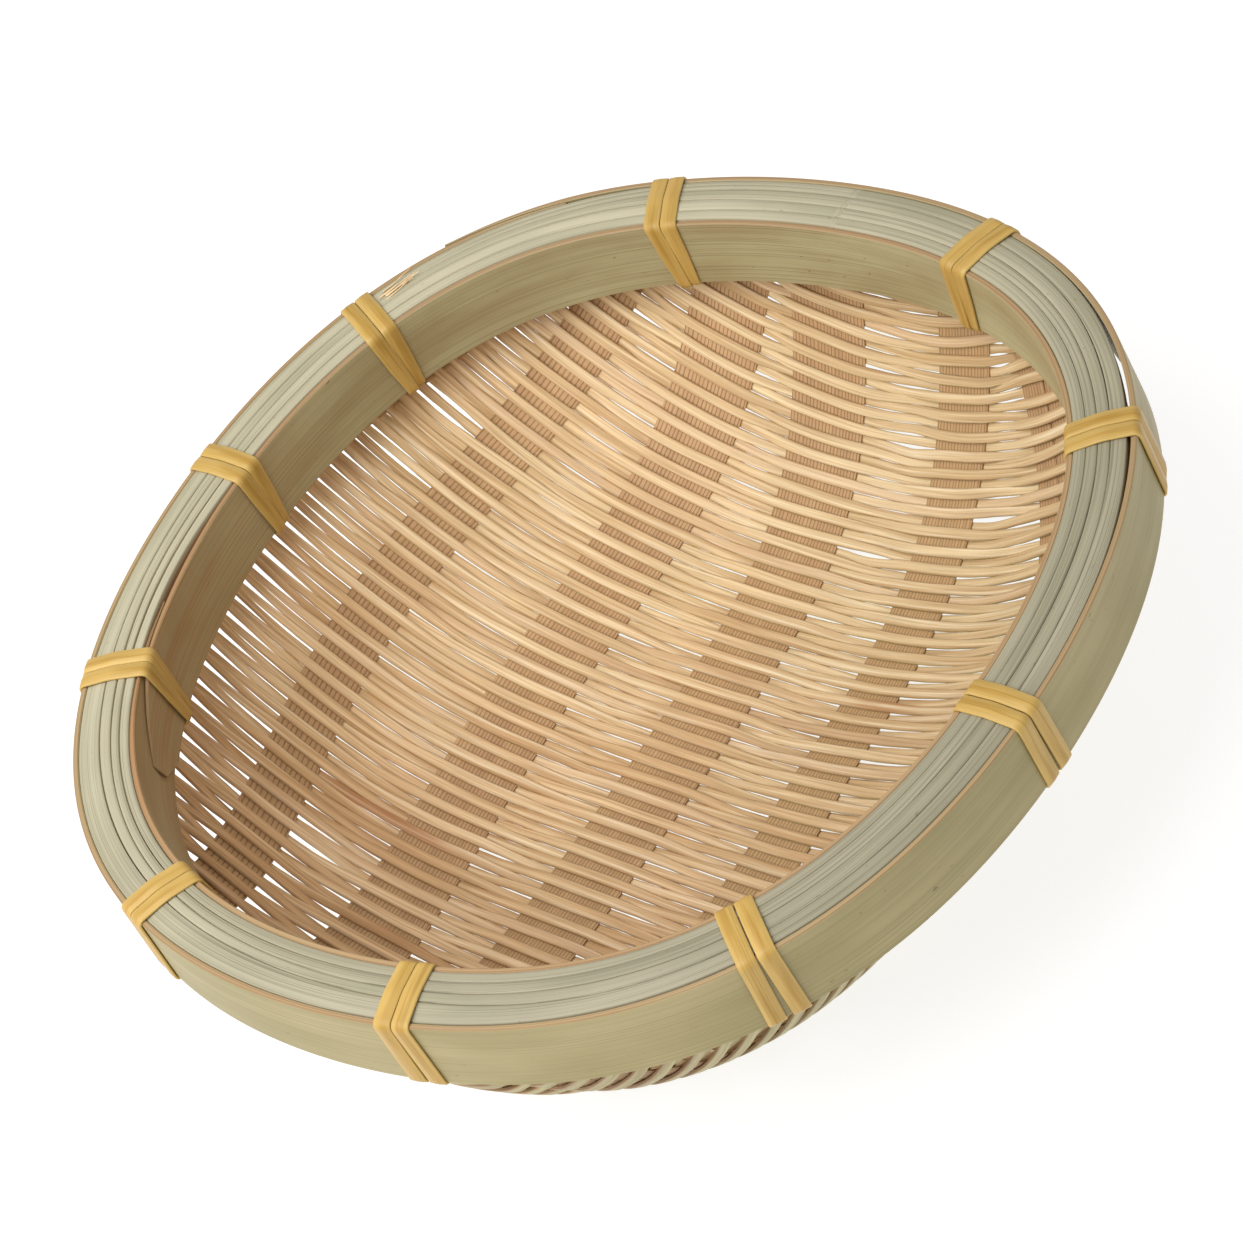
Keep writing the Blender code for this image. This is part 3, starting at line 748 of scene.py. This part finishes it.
def add_fillers(material):
    rng = np.random.default_rng(SEED + 2)
    angle = np.linspace(0, 2 * pi, RIM_STEPS, endpoint=False)
    degrees = np.degrees(angle)
    cracks = LEAST_CRACK + np.stack([
        sum(size * swell(degrees, middle, width) for size, middle, width in row) for row in CRACKS])
    for crack in cracks:
        for lobes in CRACK_LOBES:
            crack += 0.02 / lobes ** 0.3 * (1 + np.sin(lobes * angle + rng.uniform(0, 2 * pi)))
    cracks *= MM
    shares = np.stack((0.85 + 0.0 * angle, 0.9 + 0.15 * np.sin(2 * angle),
                       0.95 + 0.15 * np.cos(3 * angle), 1.0 + 1.3 * swell(degrees, 145, 60)))
    room = OUTER_HOOP_INSIDE - INNER_HOOP_OUTSIDE - cracks.sum(axis=0)
    widths = shares / shares.sum(axis=0) * room
    inside = INNER_HOOP_OUTSIDE + cracks[0]
    r = SPLINT_ROUND
    for number in range(len(shares)):
        outside = inside + widths[number]
        lumps = SPLINT_LUMPS * np.sin(5 * angle + number * 2.1)
        bottom = RIM_TOP - FILLER_HEIGHT + 0.0 * angle
        stops = [inside, outside, outside, outside - r, (outside * 2 + inside) / 3,
                 (outside + inside * 2) / 3, inside + r, inside]
        drops = [None, None, r, 0.0, 0.0, 0.0, 0.0, r]
        heights = [bottom if drop is None else splint_top(stop, lumps) - drop
                   for stop, drop in zip(stops, drops)]
        cut = np.array((1, 1, 0.4, 0, 0, 0, 0, 0.4))
        sweep = ring_sweep(angle, np.stack(stops, 1), np.stack(heights, 1), cut,
                           (rng.uniform(0, 1), 0.5), True)
        name = f"filler_{number + 1}"
        make_piece(f"rim_{name}", [name], [sweep], material, 50.0)
        inside = outside + cracks[number + 1]


def add_splinters(material):
    """Frayed fibres that stand up from the splints beside a binding."""
    rng = np.random.default_rng(SEED + 4)
    profile = strip_profile(0.03 * MM, 0.02 * MM)
    share = np.linspace(0, 1, 9)
    sweeps = []
    for _ in range(SPLINTERS):
        start = radians(SPLINTER_SIDE + rng.uniform(-0.6, 0.4))
        angle = start - share * rng.uniform(5.0, 9.0) * MM / RIM_RADIUS
        radius = OUTER_HOOP_INSIDE - rng.uniform(1.0, 5.0) * MM
        radius = radius + share ** 2 * rng.uniform(-0.8, 1.4) * MM
        height = RIM_TOP + 0.42 * MM + share ** 1.3 * rng.uniform(0.5, 1.0) * MM
        centre = rim_points(radius, angle, height)
        normal = np.tile((0.0, 0.0, 1.0), (len(share), 1))
        half_width = 0.2 * MM * (1 - 0.7 * share)
        sweeps.append(strip_sweep(centre, normal, half_width, 0.07 * MM, profile,
                                  rng.uniform(0, 1, 2)))
    make_piece("rim_splinters", [], sweeps, material)


def add_core(material):
    angle = np.linspace(0, 2 * pi, RIM_STEPS, endpoint=False)
    inside = INNER_HOOP_OUTSIDE + 0.3 * MM
    outside = WEAVE_RADIUS - 3.0 * MM
    width = (outside - inside) / CORE_ROUNDS
    sweeps = []
    for number in range(CORE_ROUNDS):
        low = inside + number * width
        high = low + width - CORE_GAP
        top = RIM_TOP - FILLER_HEIGHT - 0.1 * MM
        bottom = HOOP_BOTTOM + CORE_LIFT + 0.4 * MM * (number % 2)
        radii = np.tile((low, high, high, low), (RIM_STEPS, 1))
        heights = np.tile((bottom, bottom, top, top), (RIM_STEPS, 1))
        sweeps.append(ring_sweep(angle, radii, heights, np.ones(4), (0.2 * number, 0.5), True))
    make_piece("rim_packing", ["rim_core"], sweeps, material, 35.0)


# ---------------------------------------------------------------- bindings
def round_corners(path, reach, arc_steps):
    """path with each corner turned into a short curve that starts reach before it."""
    rounded = [path[0]]
    for before, corner, after in zip(path, path[1:], path[2:]):
        back, forward = before - corner, after - corner
        near = corner + back * min(0.5, reach / np.hypot(*back[:2]))
        far = corner + forward * min(0.5, reach / np.hypot(*forward[:2]))
        for share in np.linspace(0, 1, arc_steps):
            blend = (1 - share) ** 2 * near + 2 * share * (1 - share) * corner + share ** 2 * far
            rounded.append(blend)
    rounded.append(path[-1])
    return np.array(rounded)


def fill_in(path, step):
    """path with extra points wherever two are further apart than step."""
    filled = [path[0]]
    for near, far in zip(path, path[1:]):
        count = max(1, int(np.hypot(*(far - near)[:2]) / step))
        filled += [near + (far - near) * k / count for k in range(1, count + 1)]
    return np.array(filled)


def add_bindings(material):
    rng = np.random.default_rng(SEED + 3)
    profile = strip_profile(0.16 * MM, 0.10 * MM)
    lap_end = INNER_LAP_START + INNER_LAP_STEPS * LAP_STEP
    up = np.array((0.0, 0.0, 1.0))
    hug = BAND_THICKNESS / 2 + BAND_GAP
    slot_middle = (INNER_HOOP_OUTSIDE + OUTER_HOOP_INSIDE) / 2
    foot_height = HOOP_BOTTOM - INNER_HOOP_DROP - hug
    for number, (direction, foot_gap, top_gap, lean) in enumerate(BINDINGS, start=1):
        angle = radians(direction)
        near, far = (rim_points(RIM_RADIUS, angle + turn, 0.0) for turn in (-0.02, 0.02))
        along = unit(far - near)
        outward = np.cross(along, up)
        inner_face = INNER_HOOP_RADIUS - hug
        if INNER_LAP_START < direction < lap_end:
            inner_face -= SCARF_TIP + LAP_CLEARANCE
        sweeps = []
        for side in (-1, 1):
            over = 0.5 * MM * (side > 0)
            foot = side * (BAND_WIDTH + foot_gap) / 2 + lean
            top = side * (BAND_WIDTH + top_gap) / 2
            meet = side * BAND_MEET - lean
            path = np.array((          # radius, height, aside, half width
                (WEAVE_RADIUS - 4.0 * MM, HOOP_BOTTOM - hug, foot * 0.6, 1.0),
                (RIM_RADIUS + OUTER_HOOP_FLARE + hug, HOOP_BOTTOM - hug, foot, 1.0),
                (RIM_RADIUS + hug, RIM_TOP + hug, top, 1.0),
                (slot_middle, RIM_TOP + FILLER_CROWN + hug - 0.05 * MM, top, 1.02),
                (inner_face, RIM_TOP - INNER_HOOP_DROP + hug, top, 1.0),
                (inner_face - INNER_HOOP_TAPER * 0.5 - over * 0.6, RIM_TOP - HOOP_HEIGHT * 0.55,
                 (top + meet) / 2, 0.95),
                (inner_face - INNER_HOOP_TAPER - over, foot_height, meet, 0.72),
                (INNER_HOOP_RADIUS + 4.0 * MM, foot_height - over, meet, 0.7),
            ))
            path = fill_in(round_corners(path, BAND_BEND, BAND_BEND_STEPS), BAND_STEP)
            heading = unit(np.gradient(path[:, :2], axis=0))
            normal = outward * heading[:, 1:2] - up * heading[:, 0:1]
            centre = rim_points(path[:, 0], angle + 0.0 * path[:, 0], path[:, 1])
            centre = centre + along * path[:, 2:3]
            sweeps.append(strip_sweep(centre, normal, path[:, 3] * BAND_WIDTH / 2,
                                      BAND_THICKNESS / 2, profile, rng.uniform(0, 1, 2)))
        name = f"{number:02d}"
        make_piece(f"rim_binding_{name}", [f"binding_{name}"], sweeps,
                   material, 75.0)


# ---------------------------------------------------------------- stage, light and camera
def add_floor():
    g = Graph("studio_floor")
    g.shader.inputs["Base Color"].default_value = (FLOOR_GREY, FLOOR_GREY, FLOOR_GREY, 1.0)
    g.shader.inputs["Roughness"].default_value = 0.9
    g.shader.inputs["Emission Color"].default_value = WHITE
    g.shader.inputs["Emission Strength"].default_value = FLOOR_GLOW
    mesh = bpy.data.meshes.new("studio_floor")
    corners = ((-1, -1), (1, -1), (1, 1), (-1, 1))
    mesh.from_pydata([(x * FLOOR_REACH, y * FLOOR_REACH, 0) for x, y in corners], [],
                     [(0, 1, 2, 3)])
    mesh.materials.append(g.material)
    floor = bpy.data.objects.new("studio_floor", mesh)
    bpy.context.scene.collection.objects.link(floor)


def add_light(name, azimuth, elevation, distance, size, power):
    light = bpy.data.lights.new(name, "AREA")
    light.shape = "DISK"
    light.size = size
    light.energy = power
    lamp = bpy.data.objects.new(name, light)
    flat = distance * cos(radians(elevation))
    lamp.location = (flat * cos(radians(azimuth)), flat * sin(radians(azimuth)),
                     distance * sin(radians(elevation)))
    lamp.rotation_euler = Euler((radians(90 - elevation), 0.0, radians(azimuth + 90)))
    bpy.context.scene.collection.objects.link(lamp)


def add_world():
    world = bpy.data.worlds.new("studio")
    world.use_nodes = True
    background = world.node_tree.nodes["Background"]
    background.inputs["Color"].default_value = WHITE
    background.inputs["Strength"].default_value = WORLD_STRENGTH
    bpy.context.scene.world = world


def add_camera():
    data = bpy.data.cameras.new("camera")
    data.lens = CAMERA_LENS
    data.sensor_width = CAMERA_SENSOR
    camera = bpy.data.objects.new("camera", data)
    camera.location = CAMERA_AT
    camera.rotation_euler = Euler([radians(turn) for turn in CAMERA_TURN])
    bpy.context.scene.collection.objects.link(camera)
    bpy.context.scene.camera = camera


# ---------------------------------------------------------------- assembly
weft_look = weft_material()
warp_look = warp_material()
outer_look = skin_material("outer_hoop_skin", srgb(178, 163, 119), srgb(156, 143, 97),
                           srgb(172, 150, 110), srgb(140, 130, 88), 0.5, 0.42, 0.0)
inner_look = skin_material("inner_hoop_skin", srgb(188, 182, 142), srgb(164, 150, 110),
                           srgb(174, 146, 106), srgb(128, 108, 74), 0.6, 0.42, 0.0, 0.8)
# the last number, 0.20, is how strongly painted light and shade vary across the fillers
filler_look = skin_material("filler_skin", srgb(184, 176, 150), srgb(162, 156, 130),
                            srgb(150, 120, 86), srgb(112, 106, 80), 0.3, 0.50, 0.20)
core_look = skin_material("packing_flesh", srgb(214, 176, 126), srgb(196, 156, 108),
                          srgb(222, 184, 134), srgb(150, 112, 72), 0.3, 0.6, 0.0)
band_look = band_material()
add_wefts(weft_look)
add_warps(warp_look)
add_outer_hoop(outer_look)
add_inner_hoop(inner_look)
add_fillers(filler_look)
add_splinters(weft_look)
add_core(core_look)
add_bindings(band_look)
add_floor()
add_world()
add_light("key", 164.0, 61.0, 0.6, 0.66, 3.9)
add_camera()
bpy.context.scene.view_settings.view_transform = "Standard"
